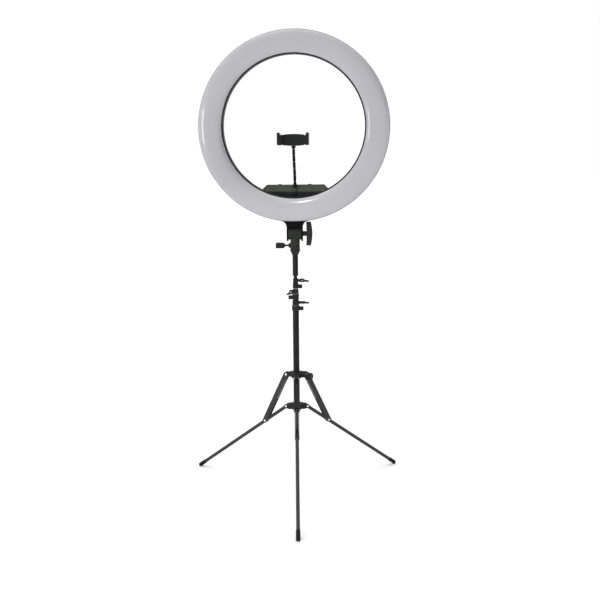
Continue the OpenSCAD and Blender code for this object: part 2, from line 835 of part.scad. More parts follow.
module slider() {
    low = slider_z - 6;
    knob_turn = -30;
    color([0.1, 0.1, 0.1]) on_column() difference() {
        union() {
            translate([0, 0, low]) cylinder(h = 17.6, r = 14);
            translate([0, 0, low - 2]) cylinder(h = 2, r1 = 12.4, r2 = 14);
            for (turn = leg_turns)
                rotate([0, 0, turn]) xz_plate(-5, 5)
                    link2d([14.5, slider_z + 3.2], 8.4, [pivot_r, slider_z], 5.2);
            rotate([0, 0, knob_turn]) translate([0, 0, slider_z + 2]) x_rod(10, 19.6, 6.4);
        }
        translate([0, 0, low - 3]) cylinder(h = 30, r = tube_r[0] + play);
        for (turn = leg_turns)
            rotate([0, 0, turn]) translate([pivot_r, 0, slider_z]) y_rod(-6, 6, rivet_r + play);
        rotate([0, 0, knob_turn]) translate([0, 0, slider_z + 2]) x_rod(0, 30, 2.5 + play);
    }
}

module slider_knob() {
    flutes = 6;
    color([0.1, 0.1, 0.1]) on_side(-30) translate([0, 0, slider_z + 2]) {
        x_rod(tube_r[0] + play, 24, 2.5);
        x_rod(20.2, 38, 5.2);
        difference() {
            x_rod(37, 50, 10.6);
            for (i = [0:flutes - 1])
                rotate([i * 360 / flutes, 0, 0]) translate([0, 0, 13.2]) x_rod(36, 51, 4.6);
        }
    }
}

module leg_hub() {
    low = hub_z - 7.7;
    color([0.1, 0.1, 0.1]) on_column() difference() {
        union() {
            translate([0, 0, low]) cylinder(h = 21.4, r = 12);
            for (turn = leg_turns, side = [-1, 1])
                rotate([0, 0, turn]) translate([0, side * 6.8, 0]) xz_plate(-1.5, 1.5)
                    link2d([18, hub_z + 2], 8.6, [pivot_r, hub_z], 6);
            // blocks that tie each pair of ears to the body
            for (turn = leg_turns)
                rotate([0, 0, turn]) translate([9, -7, hub_z - 6]) cube([14, 14, 16]);
        }
        translate([0, 0, low - 1]) cylinder(h = 30, r = tube_r[0]);
        for (turn = leg_turns)
            rotate([0, 0, turn]) translate([pivot_r, 0, hub_z]) y_rod(-9, 9, rivet_r);
    }
}

module hub_plug() {
    low = hub_z - 7.7;
    color([0.07, 0.07, 0.07]) on_column() {
        translate([0, 0, low - 1.6]) cylinder(h = 1.6, r = 11);
        translate([0, 0, low - eps]) cylinder(h = 10, r = tube_r[0] - tube_wall[0]);
    }
}

// A rivet across a joint: a shank with a domed head on each side
module rivet(half, r) {
    y_rod(-half - eps, half + eps, r);
    for (side = [-1, 1])
        scale([1, 1, 1]) translate([0, side * half, 0]) rotate([-90 * side, 0, 0]) intersection() {
            translate([0, 0, -2.6]) sphere(r = 4.2, $fn = 48);
            cylinder(h = 3, r = 3.3);
        }
}

module hub_rivets() {
    color([0.85, 0.85, 0.87])
        for (turn = leg_turns) on_side(turn) translate([pivot_r, 0, hub_z]) rivet(8.3, rivet_r);
}

module leg(turn) {
    color([0.12, 0.12, 0.125]) along_leg(turn) difference() {
        union() {
            sphere(r = leg_r);
            cylinder(h = leg_len - 4, r = leg_r);
        }
        translate([0, 0, 9]) cylinder(h = leg_len, r = leg_r - 0.9);
        y_rod(-6, 6, rivet_r + play);
        translate([0, 0, strut_at]) y_rod(-6, 6, rivet_r + play);
    }
}

module leg_front() { leg(leg_turns[0]); }

module leg_right() { leg(leg_turns[1]); }

module leg_left() { leg(leg_turns[2]); }

// Rubber foot: a sleeve with a round end, worn flat where it stands
module foot(turn) {
    color([0.04, 0.04, 0.04]) difference() {
        along_leg(turn) difference() {
            union() {
                translate([0, 0, leg_len]) sphere(r = foot_r);
                translate([0, 0, leg_len - 24]) cylinder(h = 24, r = foot_r);
            }
            translate([0, 0, leg_len - 25]) cylinder(h = 21, r = leg_r);
        }
        translate([-500, -500, -20]) cube([1000, 1000, 20]);
    }
}

module foot_front() { foot(leg_turns[0]); }

module foot_right() { foot(leg_turns[1]); }

module foot_left() { foot(leg_turns[2]); }

// Side outline of a strut's flange, along the strut, with round ends
module flange_outline() {
    mid = (strut_lip_x + strut_web_x + strut_t) / 2;
    half = (strut_web_x + strut_t - strut_lip_x) / 2;
    translate([mid, 0]) circle(half);
    translate([mid, strut_len]) circle(half);
    translate([strut_lip_x, 0]) square([2 * half, strut_len]);
}

// Pressed channel: two flanges, tied by a web on the mast's side of the upper half
module strut(turn) {
    web_from = 15;
    web_to = strut_len / 2;
    color([0.13, 0.13, 0.135]) along_strut(turn) difference() {
        union() {
            xz_plate(strut_in, strut_in + strut_t) flange_outline();
            xz_plate(-strut_in - strut_t, -strut_in) flange_outline();
            translate([strut_web_x, -strut_in - eps, web_from])
                cube([strut_t, 2 * (strut_in + eps), web_to - web_from]);
        }
        y_rod(-10, 10, rivet_r);
        translate([0, 0, strut_len]) y_rod(-10, 10, rivet_r);
    }
}

module strut_front() { strut(leg_turns[0]); }

module strut_right() { strut(leg_turns[1]); }

module strut_left() { strut(leg_turns[2]); }

// The rivet through the leg, and the two stubs that stand for the rivet at the sliding collar
module strut_rivets(turn) {
    color([0.85, 0.85, 0.87]) along_strut(turn) {
        translate([0, 0, strut_len]) rivet(strut_in + strut_t, rivet_r);
        difference() {
            rivet(strut_in + strut_t, rivet_r);
            translate([-6, -strut_in, -6]) cube([12, 2 * strut_in, 12]);
        }
    }
}

module rivets_front() { strut_rivets(leg_turns[0]); }

module rivets_right() { strut_rivets(leg_turns[1]); }

module rivets_left() { strut_rivets(leg_turns[2]); }

rear_housing();
diffuser();
led_boards();
led_chips();
back_screws();
control_box();
box_cover();
driver_board();
dc_inlet();
display_window();
brightness_knob();
colour_knob();
power_button();
mode_button();
tilt_bracket();
neck_ferrule();
neck_link_1();
neck_link_2();
neck_link_3();
neck_link_4();
neck_link_5();
holder_socket();
holder_body();
fixed_pad();
holder_jaw();
jaw_pad();
holder_spring();
swivel_socket();
tilt_bolt();
tilt_knob();
tilt_nut();
socket_screw();
spigot();
tube_top();
tube_upper();
tube_middle();
tube_bottom();
collar_upper();
collar_middle();
collar_lower();
wing_upper();
wing_middle();
wing_lower();
slider();
slider_knob();
leg_hub();
hub_plug();
hub_rivets();
leg_front();
leg_right();
leg_left();
foot_front();
foot_right();
foot_left();
strut_front();
strut_right();
strut_left();
rivets_front();
rivets_right();
rivets_left();
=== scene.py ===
"""Looks for the ring light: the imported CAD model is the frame, and detailed pieces and materials go round it.

Pieces are built in millimetres and turn into metres as their meshes are made. Materials, lights and the
camera are in metres. The lamp faces -Y.
"""

import json
import math

import bmesh
import bpy
from mathutils import Matrix, Vector


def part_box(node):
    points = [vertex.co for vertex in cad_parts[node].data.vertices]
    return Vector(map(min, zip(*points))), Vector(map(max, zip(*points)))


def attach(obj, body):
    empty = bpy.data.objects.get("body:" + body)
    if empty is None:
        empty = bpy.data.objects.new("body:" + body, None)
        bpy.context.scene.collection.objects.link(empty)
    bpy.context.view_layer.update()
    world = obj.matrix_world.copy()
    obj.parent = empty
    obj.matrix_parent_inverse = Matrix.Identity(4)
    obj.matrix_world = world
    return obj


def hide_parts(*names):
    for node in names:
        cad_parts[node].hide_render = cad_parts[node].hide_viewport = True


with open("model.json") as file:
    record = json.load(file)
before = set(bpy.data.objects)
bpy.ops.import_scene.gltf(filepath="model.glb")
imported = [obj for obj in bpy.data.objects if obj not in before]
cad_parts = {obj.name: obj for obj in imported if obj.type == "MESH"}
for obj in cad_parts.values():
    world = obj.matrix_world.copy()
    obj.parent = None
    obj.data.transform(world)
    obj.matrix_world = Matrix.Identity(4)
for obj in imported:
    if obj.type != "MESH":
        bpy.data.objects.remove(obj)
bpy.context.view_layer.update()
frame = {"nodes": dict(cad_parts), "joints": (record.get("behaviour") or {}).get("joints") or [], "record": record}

MM = 0.001
MERGE = 1e-6
AXIS = 0.02  # radius at which a turned profile closes on its axis
NODES = frame["nodes"]
SIDES = ("front", "right", "left")
KNOBS = ("brightness_knob", "colour_knob")


def mm_box(node):
    """A node's lowest and highest corner, in millimetres."""
    low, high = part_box(node)
    return Vector(low) / MM, Vector(high) / MM


def joint(name):
    return next(j for j in frame["joints"] if j["name"] == name)


# ---------------------------------------------------------------- materials

def new_material(name):
    mat = bpy.data.materials.new(name)
    mat.use_nodes = True
    return mat, mat.node_tree.nodes, mat.node_tree.links, mat.node_tree.nodes["Principled BSDF"]


def noise(nodes, links, scale, detail):
    """A noise texture in object space, in cycles per metre."""
    coords = nodes.new("ShaderNodeTexCoord")
    texture = nodes.new("ShaderNodeTexNoise")
    texture.inputs["Scale"].default_value = scale
    texture.inputs["Detail"].default_value = detail
    texture.inputs["Roughness"].default_value = 0.55
    links.new(coords.outputs["Object"], texture.inputs["Vector"])
    return texture.outputs["Fac"]


def ramp(nodes, links, source, low, high):
    """Turns a noise value into a colour between low and high."""
    node = nodes.new("ShaderNodeValToRGB")
    for element, position, colour in zip(node.color_ramp.elements, (0.35, 0.65), (low, high)):
        element.position = position
        element.color = (*colour, 1)
    links.new(source, node.inputs["Fac"])
    return node.outputs["Color"]


def map_range(nodes, links, source, start, end, low, high):
    """Maps start to end onto low to high."""
    node = nodes.new("ShaderNodeMapRange")
    for socket, value in (("From Min", start), ("From Max", end), ("To Min", low), ("To Max", high)):
        node.inputs[socket].default_value = value
    links.new(source, node.inputs["Value"])
    return node


def spread(nodes, links, source, low, high):
    """Maps the middle of a noise value's range onto low to high."""
    return map_range(nodes, links, source, 0.3, 0.7, low, high).outputs["Result"]


def edge_wear(nodes, links, amount):
    """About 0 on flat faces and amount on worn edges, broken up by noise."""
    bevel = nodes.new("ShaderNodeBevel")
    bevel.samples = 4
    bevel.inputs["Radius"].default_value = 0.0006
    geometry = nodes.new("ShaderNodeNewGeometry")
    turn = nodes.new("ShaderNodeVectorMath")
    turn.operation = "DOT_PRODUCT"
    links.new(bevel.outputs["Normal"], turn.inputs[0])
    links.new(geometry.outputs["Normal"], turn.inputs[1])
    sharp = map_range(nodes, links, turn.outputs["Value"], 0.985, 0.85, 0.0, amount)
    broken = nodes.new("ShaderNodeMath")
    broken.operation = "MULTIPLY"
    links.new(sharp.outputs["Result"], broken.inputs[0])
    links.new(spread(nodes, links, noise(nodes, links, 260, 5), 0.2, 1.0), broken.inputs[1])
    return broken.outputs["Value"]


def blend(nodes, links, factor, first, second):
    """A colour between two, each a socket or a plain colour."""
    node = nodes.new("ShaderNodeMix")
    node.data_type = "RGBA"
    links.new(factor, node.inputs[0])
    for socket, colour in ((node.inputs[6], first), (node.inputs[7], second)):
        if isinstance(colour, tuple):
            socket.default_value = (*colour, 1)
        else:
            links.new(colour, socket)
    return node.outputs[2]


def bump(nodes, links, bsdf, height, strength, distance):
    node = nodes.new("ShaderNodeBump")
    node.inputs["Strength"].default_value = strength
    node.inputs["Distance"].default_value = distance
    links.new(height, node.inputs["Height"])
    links.new(node.outputs["Normal"], bsdf.inputs["Normal"])


def moulded(name, dark, light, rough, grain, depth, wear=0.08, worn=(0.2, 0.2, 0.2), coat=0.0, specular=0.16):
    """Moulded plastic, rubber or paint: two close shades, fine texture, and edges rubbed lighter."""
    mat, nodes, links, bsdf = new_material(name)
    base = ramp(nodes, links, noise(nodes, links, 22, 5), dark, light)
    links.new(blend(nodes, links, edge_wear(nodes, links, wear), base, worn), bsdf.inputs["Base Color"])
    links.new(spread(nodes, links, noise(nodes, links, 60, 6), *rough), bsdf.inputs["Roughness"])
    bump(nodes, links, bsdf, noise(nodes, links, grain, 3), depth, 0.0004)
    bsdf.inputs["Specular IOR Level"].default_value = specular
    if coat:
        bsdf.inputs["Coat Weight"].default_value = coat
        bsdf.inputs["Coat Roughness"].default_value = 0.08
    return mat


def metal(name, dark, light, rough=(0.2, 0.35)):
    """Bare metal with a tumbled grain."""
    mat, nodes, links, bsdf = new_material(name)
    links.new(ramp(nodes, links, noise(nodes, links, 45, 5), dark, light), bsdf.inputs["Base Color"])
    links.new(spread(nodes, links, noise(nodes, links, 120, 6), *rough), bsdf.inputs["Roughness"])
    bump(nodes, links, bsdf, noise(nodes, links, 900, 3), 0.05, 0.0003)
    bsdf.inputs["Metallic"].default_value = 1.0
    return mat


def diffuser_material():
    """Milky sheet: cool grey-lavender with a glossy skin."""
    mat, nodes, links, bsdf = new_material("milky_diffuser")
    bsdf.inputs["Roughness"].default_value = 0.16
    bsdf.inputs["IOR"].default_value = 1.49
    bsdf.inputs["Coat Weight"].default_value = 0.6
    bsdf.inputs["Coat Roughness"].default_value = 0.05
    bsdf.inputs["Subsurface Weight"].default_value = 0.12
    bsdf.inputs["Subsurface Radius"].default_value = (0.01, 0.01, 0.012)
    bsdf.inputs["Subsurface Scale"].default_value = 0.4
    links.new(ramp(nodes, links, noise(nodes, links, 3.0, 3), (0.395, 0.39, 0.42), (0.445, 0.44, 0.475)),
              bsdf.inputs["Base Color"])
    bump(nodes, links, bsdf, noise(nodes, links, 60, 2), 0.02, 0.0005)
    return mat


def box_painted_light_and_shade():
    """The control box: olive-grey along its top and upper slope as painted light from above, black below the slope
    as painted shade in the ring's cavity.
    """
    mat = moulded("box_lit_slope_shaded_front", (0.042, 0.045, 0.036), (0.06, 0.064, 0.052),
                  rough=(0.45, 0.58), grain=2200, depth=0.12, wear=0.2, worn=(0.2, 0.2, 0.17))
    nodes, links = mat.node_tree.nodes, mat.node_tree.links
    bsdf = nodes["Principled BSDF"]
    # the moulded olive-grey is painted light: the top and upper slope as they look lit from above
    olive = bsdf.inputs["Base Color"].links[0].from_socket
    # this black is painted shade: the front face in shadow inside the ring
    black = ramp(nodes, links, noise(nodes, links, 30, 5), (0.006, 0.007, 0.008), (0.012, 0.013, 0.014))
    coords = nodes.new("ShaderNodeTexCoord")
    split = nodes.new("ShaderNodeSeparateXYZ")
    links.new(coords.outputs["Object"], split.inputs["Vector"])
    top = max(v.co.z for v in NODES["control_box"].data.vertices)
    # painted light above this band, painted shade below it
    painted_shade_to, painted_light_from = top - 0.0205, top - 0.0165
    step = map_range(nodes, links, split.outputs["Z"], painted_shade_to, painted_light_from, 0.0, 1.0)
    links.new(blend(nodes, links, step.outputs["Result"], black, olive), bsdf.inputs["Base Color"])
    return mat


MATS = {
    "housing": moulded("textured_black_housing", (0.008, 0.008, 0.009), (0.014, 0.014, 0.015),
                       rough=(0.4, 0.52), grain=2600, depth=0.12),
    "diffuser": diffuser_material(),
    "board": moulded("white_solder_mask", (0.78, 0.79, 0.76), (0.86, 0.87, 0.84),
                     rough=(0.3, 0.4), grain=900, depth=0.02, wear=0.2, worn=(0.6, 0.55, 0.3)),
    "led": moulded("yellow_phosphor", (0.80, 0.62, 0.12), (0.95, 0.78, 0.25),
                   rough=(0.3, 0.4), grain=1800, depth=0.05, wear=0.5, worn=(0.9, 0.9, 0.85)),
    "screw_steel": metal("blackened_zinc", (0.16, 0.16, 0.17), (0.3, 0.3, 0.31), rough=(0.3, 0.45)),
    # the control box carries painted light on its slope and painted shade on its front
    "box": box_painted_light_and_shade(),
    "cover": moulded("textured_black_cover", (0.012, 0.012, 0.013), (0.02, 0.02, 0.022),
                     rough=(0.42, 0.56), grain=2600, depth=0.15),
    "circuit": moulded("green_solder_mask", (0.015, 0.12, 0.05), (0.03, 0.2, 0.09),
                       rough=(0.3, 0.45), grain=700, depth=0.1),
    "window": moulded("smoked_window", (0.003, 0.003, 0.004), (0.006, 0.006, 0.008),
                      rough=(0.06, 0.1), grain=300, depth=0.01, wear=0.05, coat=0.5),
    "knob": moulded("soft_black_knob", (0.012, 0.012, 0.013), (0.02, 0.02, 0.021),
                    rough=(0.42, 0.54), grain=1900, depth=0.1, wear=0.12),
    "button": moulded("dark_grey_button", (0.05, 0.05, 0.044), (0.075, 0.075, 0.067),
                      rough=(0.42, 0.52), grain=1900, depth=0.08, wear=0.15),
    "bracket": moulded("gloss_black_bracket", (0.002, 0.002, 0.0025), (0.004, 0.004, 0.005),
                       rough=(0.2, 0.3), grain=500, depth=0.03, wear=0.05, specular=0.07),
    "neck": moulded("satin_black_neck", (0.005, 0.005, 0.005), (0.009, 0.009, 0.009),
                    rough=(0.45, 0.6), grain=1500, depth=0.08, wear=0.05, specular=0.1),
    "holder": moulded("satin_charcoal_holder", (0.008, 0.009, 0.009), (0.014, 0.015, 0.0145),
                      rough=(0.42, 0.54), grain=2400, depth=0.1, wear=0.1),
    "pad": moulded("ribbed_rubber_pad", (0.012, 0.012, 0.012), (0.02, 0.02, 0.02),
                   rough=(0.6, 0.75), grain=1200, depth=0.15),
    "spring": metal("spring_wire", (0.35, 0.35, 0.36), (0.55, 0.55, 0.57)),
    "socket": moulded("grey_glass_filled_socket", (0.013, 0.0145, 0.013), (0.021, 0.023, 0.0205),
                      rough=(0.5, 0.64), grain=1700, depth=0.22, wear=0.15, worn=(0.12, 0.12, 0.12)),
    "zinc_bolt": metal("bright_zinc", (0.42, 0.42, 0.44), (0.62, 0.62, 0.64)),
    "tube": moulded("charcoal_tube_enamel", (0.007, 0.007, 0.0075), (0.012, 0.012, 0.0125),
                    rough=(0.34, 0.46), grain=1300, depth=0.05, wear=0.05, coat=0.03),
    # lighter copy of the tube enamel for the legs and struts: the higher specular is real, the lighter colour a
    # painted highlight
    "leg": moulded("charcoal_enamel_with_painted_highlight", (0.016, 0.016, 0.017), (0.025, 0.025, 0.026),
                   rough=(0.3, 0.4), grain=1300, depth=0.05, wear=0.05, specular=0.35),
    "collar": moulded("satin_black_collar", (0.011, 0.011, 0.011), (0.018, 0.018, 0.018),
                      rough=(0.36, 0.48), grain=2100, depth=0.1, wear=0.12),
    "wing": moulded("satin_black_wing", (0.009, 0.009, 0.01), (0.015, 0.015, 0.016),
                    rough=(0.36, 0.48), grain=2100, depth=0.1, wear=0.1),
    "rivet": metal("bright_rivet", (0.7, 0.7, 0.72), (0.9, 0.9, 0.92), rough=(0.2, 0.3)),
    "marking": moulded("pale_marking_paint", (0.55, 0.55, 0.55), (0.66, 0.66, 0.66),
                       rough=(0.4, 0.5), grain=900, depth=0.03),
    "rubber": moulded("black_rubber", (0.009, 0.009, 0.009), (0.015, 0.015, 0.015),
                      rough=(0.6, 0.75), grain=900, depth=0.2, wear=0.1, worn=(0.05, 0.05, 0.05)),
}
SLOT_OF = {p["node"]: p["material_slot"] for p in frame["record"]["subparts"]}


def finish_of(node):
    """A node's material: the legs and struts get a lighter copy of the tube enamel, its lighter colour a painted
    highlight, and the rest follow their slot.
    """
    legs = ("leg_front", "leg_right", "leg_left", "strut_")
    return "leg" if node.startswith(legs) else SLOT_OF[node]


def dress(obj, finish):
    obj.data.materials.clear()
    obj.data.materials.append(MATS[finish])


for name, node in NODES.items():
    dress(node, finish_of(name))


# ---------------------------------------------------------------- frames

def column_centre():
    low, high = mm_box("tube_bottom")
    return Vector(((low.x + high.x) / 2, (low.y + high.y) / 2, 0))


def head_matrix():
    """The lamp's frame: X across it along the tilt axis, -Y the way it faces."""
    axis = Vector(joint("tilt")["axis"])
    return Matrix.Translation(column_centre()) @ Matrix.Rotation(math.atan2(axis.y, axis.x), 4, "Z")


def frame_points(node, matrix):
    """A node's vertices in another frame, in millimetres."""
    inverse = matrix.inverted()
    return [inverse @ (v.co / MM) for v in NODES[node].data.vertices]


def frame_box(node, matrix):
    """A node's lowest and highest corner in another frame, in millimetres."""
    points = frame_points(node, matrix)
    return Vector(map(min, zip(*points))), Vector(map(max, zip(*points)))


def radii(node, matrix):
    """A node's smallest and largest distance from a frame's Z axis, in millimetres."""
    sizes = [p.xy.length for p in frame_points(node, matrix)]
    return min(sizes), max(sizes)


def rotation(degrees, axis):
    return Matrix.Rotation(math.radians(degrees), 4, axis)


COLUMN = Matrix.Translation(column_centre())
HEAD = head_matrix()
BACK_Y = frame_box("rear_housing", HEAD)[1].y
RING_Z = sum(c.z for c in mm_box("rear_housing")) / 2
# the ring's frame: its axis is Z, from the lamp's back at 0 towards its front
RING = HEAD @ Matrix.Translation((0, BACK_Y, RING_Z)) @ rotation(90, "X")


# ---------------------------------------------------------------- mesh helpers

def arc(x, y, radius, start, end, steps):
    """Points on an arc, angles in degrees."""
    turns = [math.radians(start + (end - start) * i / steps) for i in range(steps + 1)]
    return [(x + radius * math.cos(t), y + radius * math.sin(t)) for t in turns]


def lathe(profile, steps):
    """A closed profile of (radius, height) points turned about Z: (vertices, faces)."""
    n = len(profile)
    turns = [2 * math.pi * i / steps for i in range(steps)]
    vertices = [(r * math.cos(t), r * math.sin(t), z) for t in turns for r, z in profile]
    faces = []
    for i in range(steps):
        here, beyond = i * n, (i + 1) % steps * n
        for j in range(n):
            after = (j + 1) % n
            faces.append((here + j, beyond + j, beyond + after, here + after))
    return vertices, faces


def prism(outline, low, high):
    """An outline of (x, y) points, anticlockwise, raised from low to high along Z."""
    n = len(outline)
    vertices = [(x, y, z) for z in (low, high) for x, y in outline]
    sides = [(i, (i + 1) % n, n + (i + 1) % n, n + i) for i in range(n)]
    return vertices, [tuple(reversed(range(n))), tuple(range(n, 2 * n))] + sides


def sector(radius, start, end, low, high, shift):
    """A pie slice between two angles, moved outwards along its middle."""
    middle = math.radians((start + end) / 2)
    x, y = shift * math.cos(middle), shift * math.sin(middle)
    return prism([(x, y)] + [(x + px, y + py) for px, py in arc(0, 0, radius, start, end, 6)], low, high)


def placed(solid, matrix):
    vertices, faces = solid
    return [tuple(matrix @ Vector(v)) for v in vertices], faces


def round_edges(obj, width, angle=35, clean=False):
    """Small rounded edges. A CAD mesh has its flat triangles merged first, and others get smooth shading."""
    if clean:
        obj.modifiers.new("weld", "WELD").merge_threshold = MERGE
        flat = obj.modifiers.new("flat", "DECIMATE")
        flat.decimate_type = "DISSOLVE"
        flat.angle_limit = math.radians(0.5)
    if width:
        bevel = obj.modifiers.new("bevel", "BEVEL")
        bevel.width = width * MM
        bevel.segments = 2
        bevel.limit_method = "ANGLE"
        bevel.angle_limit = math.radians(angle)
    if not clean:
        obj.data.shade_smooth()
        obj.data.set_sharp_from_angle(angle=math.radians(angle))


def piece(name, solids, matrix, finish, body, angle=35, bevel=0.0):
    """One object from (vertices, faces) solids given in a frame's millimetres. It rides on a body."""
    bm = bmesh.new()
    for vertices, faces in solids:
        made = [bm.verts.new((matrix @ Vector(v)) * MM) for v in vertices]
        for face in faces:
            bm.faces.new([made[i] for i in face])
    bmesh.ops.remove_doubles(bm, verts=bm.verts, dist=MERGE)
    bmesh.ops.recalc_face_normals(bm, faces=bm.faces)
    mesh = bpy.data.meshes.new(name)
    bm.to_mesh(mesh)
    bm.free()
    obj = bpy.data.objects.new(name, mesh)
    bpy.context.scene.collection.objects.link(obj)
    round_edges(obj, bevel, angle)
    dress(obj, finish)
    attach(obj, body)
    return obj


# ---------------------------------------------------------------- ring

def build_housing():
    """The channel that holds the boards: rounded back corners, rolled front lips, and shallow ribs behind."""
    inner, outer = radii("rear_housing", RING)
    depth = frame_box("rear_housing", RING)[1].z
    middle = (outer + inner) / 2
    wall, lip, corner, ledge = 2.4, 1.1, 9, 0.4
    rib_pitch, rib_foot, rib_top, rib_rise = 9, 2.2, 1.6, 0.7
    line_sink = 0.5

    def parting_line(radius, sink):
        """A fine groove round a wall, 9 to 10.6 mm behind its front edge."""
        return [(radius, depth - 9), (radius + sink, depth - 9.4), (radius + sink, depth - 10.2),
                (radius, depth - 10.6)]

    ribs = []
    for k in (2, 1, 0, -1, -2):
        r = middle + k * rib_pitch
        ribs += [(r + rib_foot, 0), (r + rib_top, rib_rise), (r - rib_top, rib_rise), (r - rib_foot, 0)]
    profile = (
        arc(outer - lip, depth - lip, lip, 90, 0, 5)
        + parting_line(outer, -line_sink)
        + arc(outer - corner, corner, corner, 0, -90, 10)
        + ribs
        + arc(inner + corner, corner, corner, -90, -180, 10)
        + parting_line(inner, line_sink)[::-1]
        + arc(inner + lip, depth - lip, lip, 180, 90, 5)
        + [(inner + wall, depth - ledge), (inner + wall, corner)]
        + arc(inner + corner, corner, corner - wall, 180, 270, 6)
        + arc(outer - corner, corner, corner - wall, 270, 360, 6)
        + [(outer - wall, depth - ledge)]
    )
    housing = piece("housing_shell", [lathe(profile, 256)], RING, "housing", "lamp_head", 32)
    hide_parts("rear_housing")


def build_louvres():
    """Five groups of raised vent slots round the housing's back, a little inside its middle."""
    inner, outer = radii("rear_housing", RING)
    reach, half, sink, rise, inset = 10, 1.1, 0.9, 0.2, 13
    outline = arc(reach, 0, half, -90, 90, 5) + arc(-reach, 0, half, 90, 270, 5)
    louvre = prism(outline, -sink, rise)
    louvres = []
    for turn in [45 * group + k for group in range(5) for k in range(-9, 10, 3)]:
        place = rotation(turn, "Z") @ Matrix.Translation(((outer + inner) / 2, 0, 0))
        louvres.append(placed(louvre, place @ Matrix.Translation((-inset, 0, 0))))
    piece("housing_louvres", louvres, RING, "housing", "lamp_head", 40, 0.35)


def build_diffuser():
    """The milky cover: a flattened dome that laps over the housing's lips, with a skirt inside each."""
    inner, outer = radii("diffuser", RING)
    low, high = frame_box("diffuser", RING)
    housing = frame_box("rear_housing", RING)[1]
    rim, overlap = housing.z, 0.2
    rise, thick, power, steps = high.z - rim, 2.0, 2.4, 40
    skirt_inset, reach_past = 3.6, 5
    seat = min(housing.x, outer + reach_past) - skirt_inset
    middle, half = (inner + outer) / 2, (outer - inner) / 2

    def dome(reach, height, start):
        points = []
        for i in range(steps + 1):
            across = math.cos(math.pi * i / steps)
            bulge = (1 - abs(across) ** power) ** (1 / power)
            points.append((middle + reach * across, start + height * bulge))
        return points

    lap = rim + overlap
    crown = dome(half, rise - overlap, lap)
    under = [(min(r, seat - thick), z) for r, z in dome(half - thick, rise - thick, rim)]
    profile = (crown + [(inner, low.z), (inner + thick, low.z)] + under[::-1]
               + [(seat - thick, low.z), (seat, low.z), (seat, lap)])
    cover = piece("diffuser_sheet", [lathe(profile, 256)], RING, "diffuser", "lamp_head", 50)
    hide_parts("diffuser")


# ---------------------------------------------------------------- gooseneck

def build_neck():
    """Ribbed sleeves on the gooseneck's links, each with the ball that the next one turns on."""
    bends = [Vector(joint(f"neck_bend_{k}")["pos_m"]) / MM for k in range(1, 7)]
    rib, gap, margin, bead, neck_in = 1.15, 0.8, 0.8, 0.42, 0.7
    ball, stem, bore = 2.5, 1.5, 1.0
    for k, (low, high) in enumerate(zip(bends, bends[1:]), 1):
        run = high - low
        place = Matrix.Translation(low) @ run.normalized().to_track_quat("Z", "Y").to_matrix().to_4x4()
        length = run.length - gap
        start, end = gap / 2, gap / 2 + length
        radius = radii(f"neck_link_{k}", place)[1]
        count = round((length - margin) / rib)
        outer = [(radius - neck_in, start)]
        for i in range(count):
            foot = start + margin / 2 + i * (length - margin) / count
            outer += arc(radius - bead, foot + rib / 2, bead, -70, 70, 4)
        outer.append((radius - neck_in, end))
        nub = arc(0, run.length, ball, 80, -60, 10)
        solids = [lathe(outer + [(bore, end), (bore, start)], 40),
                  lathe([(AXIS, nub[0][1])] + nub + [(stem, end - 2), (AXIS, end - 2)], 32)]
        sleeve = piece(f"neck_sleeve_{k}", solids, place, "neck", f"neck_link_{k}", 50)
        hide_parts(f"neck_link_{k}")


# ---------------------------------------------------------------- feet

def build_feet():
    """Rubber feet: a sleeve with grip rings and a round nose, flat where it stands."""
    radius, drop, sleeve, bore, wall = 5.8, 5.2, 24, 5.02, 4
    rings, ring_from, ring_pitch, ring_sink, ring_top, ring_foot = 4, -5, 3.4, 0.45, 0.4, 0.8
    profile = [(AXIS, radius)] + arc(0, 0, radius, 86, 0, 14)
    for i in range(rings):
        z = ring_from - i * ring_pitch
        profile += [(radius, z + ring_foot), (radius - ring_sink, z + ring_top),
                    (radius - ring_sink, z - ring_top), (radius, z - ring_foot)]
    profile += [(radius, 1.4 - sleeve), (radius - 0.4, 0.4 - sleeve), (radius - 0.8, -sleeve),
                (bore, -sleeve), (bore, -wall), (AXIS, -wall)]
    for side in SIDES:
        pivot = Vector(joint(f"leg_{side}_fold")["pos_m"]) / MM
        points = [v.co / MM for v in NODES[f"foot_{side}"].data.vertices]
        flat = [p for p in points if p.z < 0.01]
        rest = sum(flat, Vector()) / len(flat)
        ball = Vector((rest.x, rest.y, drop))
        along = (ball - pivot).normalized()
        place = Matrix.Translation(ball) @ along.to_track_quat("Z", "Y").to_matrix().to_4x4()
        made = piece(f"foot_boot_{side}", [lathe(profile, 56)], place, "rubber", f"leg_{side}", 35)
        for v in made.data.vertices:
            v.co.z = max(v.co.z, 0)
        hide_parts(f"foot_{side}")


# ---------------------------------------------------------------- small parts

def pan_head(radius, height):
    """A cross-slotted pan head standing on Z = 0."""
    skirt, slot = height * 0.6, 0.63
    rim = [(AXIS, 0), (radius, 0), (radius, height * 0.45), (radius * 0.96, skirt), (AXIS, skirt)]
    quarters = [sector(radius * 0.78, start, start + 90, height * 0.5, height, slot)
                for start in (0, 90, 180, 270)]
    return [lathe(rim, 28)] + quarters


def clusters(node):
    """The boxes of a node's separate solids, in millimetres."""
    bm = bmesh.new()
    bm.from_mesh(NODES[node].data)
    bmesh.ops.remove_doubles(bm, verts=bm.verts, dist=MERGE)
    seen, boxes = set(), []
    for first in bm.verts:
        if first in seen:
            continue
        stack, group = [first], []
        seen.add(first)
        while stack:
            vert = stack.pop()
            group.append(vert.co / MM)
            for edge in vert.link_edges:
                other = edge.other_vert(vert)
                if other not in seen:
                    seen.add(other)
                    stack.append(other)
        boxes.append((Vector(map(min, zip(*group))), Vector(map(max, zip(*group)))))
    bm.free()
    return boxes


